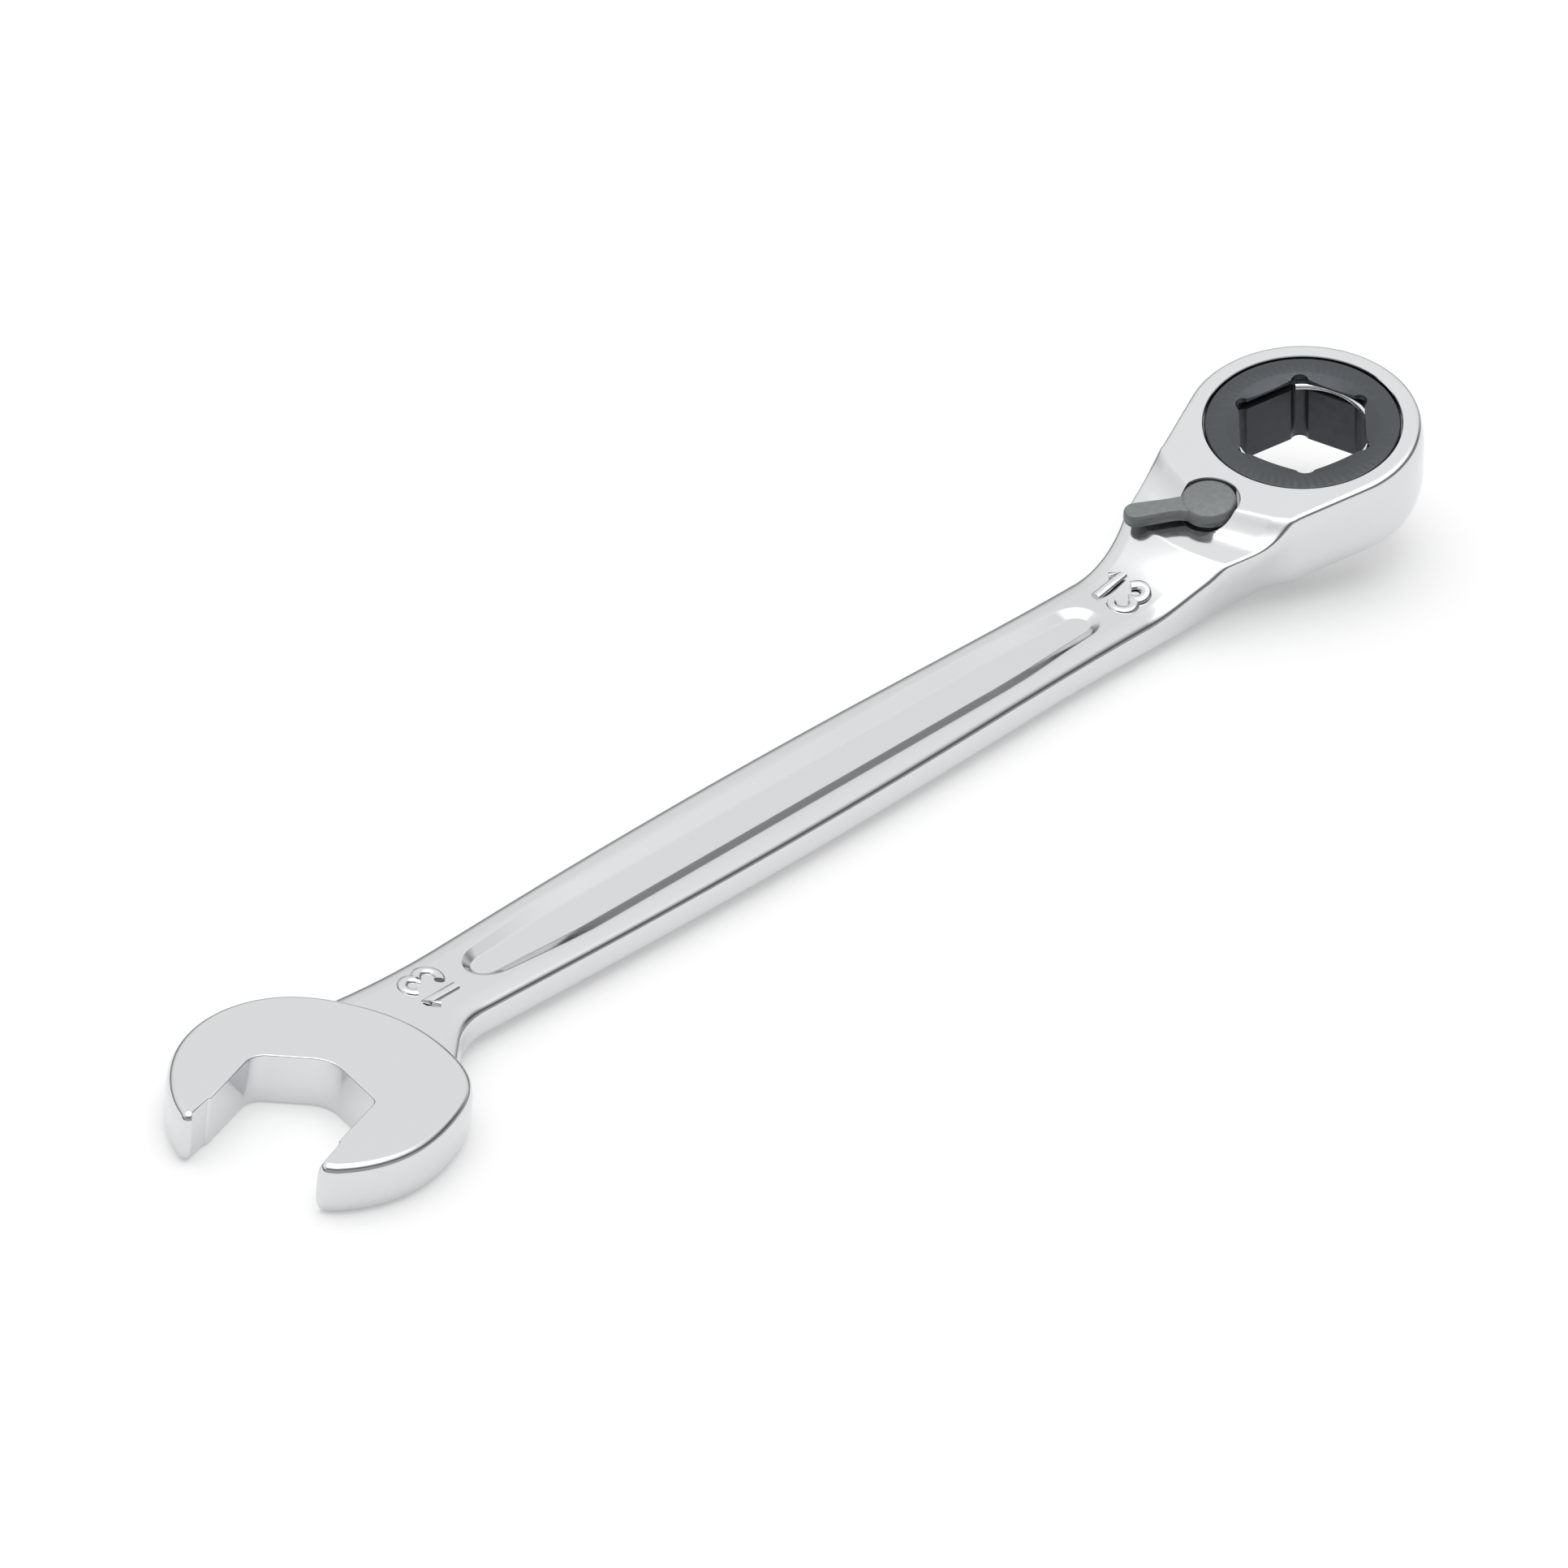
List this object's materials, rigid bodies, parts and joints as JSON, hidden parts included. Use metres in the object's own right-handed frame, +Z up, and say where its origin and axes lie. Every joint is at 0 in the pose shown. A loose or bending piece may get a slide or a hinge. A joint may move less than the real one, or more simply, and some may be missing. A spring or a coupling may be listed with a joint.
{
  "type": "reversible ratcheting combination wrench",
  "caption": "Combination wrench with an open jaw at one end and a tilted reversible ratcheting ring with a thumb lever at the other.",
  "frame": {"origin": "middle of the footprint, level with the underside of the open jaw, on which the wrench lies", "axes": "+X from the open jaw to the ratcheting ring, +Y to the left seen from the jaw, +Z up out of the thumb side"},
  "size_m": [0.1789, 0.0296, 0.0166],
  "materials": {
    "chromed_steel": "polished chrome plate on forged steel",
    "black_oxide_steel": "satin dark oxide on hardened steel",
    "spring_steel": "oiled spring steel",
    "bright_wire": "bright drawn wire",
    "hardened_steel": "ground and hardened, oiled",
    "sintered_steel": "matte sintered steel",
    "black_rubber": "matte",
    "clip_steel": "oiled spring steel",
    "plunger_steel": "ground",
    "spring_wire": "music wire"
  },
  "bodies": {
    "wrench": {"wrench_body": "chromed_steel", "gear_retaining_clip": "spring_steel", "lever_retaining_clip": "clip_steel"},
    "gear": {"ratchet_gear": "black_oxide_steel", "bolt_stop_ring": "bright_wire"},
    "lever": {"reversing_lever": "sintered_steel", "lever_seal_ring": "black_rubber", "pawl_spring": "spring_wire"},
    "plunger": {"pawl_plunger": "plunger_steel"},
    "pawl": {"pawl": "hardened_steel"}
  },
  "joints": [
    {"name": "gear_spin", "type": "hinge", "parent": "wrench", "child": "gear", "pos_m": [0.07573, 0.00211, 0.01412], "axis": [-0.2079, 0, 0.9781], "continuous": true},
    {"name": "lever_turn", "type": "hinge", "parent": "wrench", "child": "lever", "pos_m": [0.06081, 0.00211, 0.01095], "axis": [-0.2079, 0, 0.9781], "range_deg": [0, 76]},
    {"name": "plunger_slide", "type": "slide", "parent": "lever", "child": "plunger", "axis": [0.7708, -0.6157, 0.1638], "range_m": [-0.0005, 0], "stiffness_N_per_m": 100, "deforming": ["pawl_spring"]},
    {"name": "pawl_rock", "type": "hinge", "parent": "wrench", "child": "pawl", "pos_m": [0.06409, 0.00211, 0.01165], "axis": [-0.2079, 0, 0.9781], "range_deg": [-14, 0]}
  ],
  "couplings": [
    {"joint": "pawl_rock", "follows": "lever_turn", "ratio": -0.1842}
  ]
}
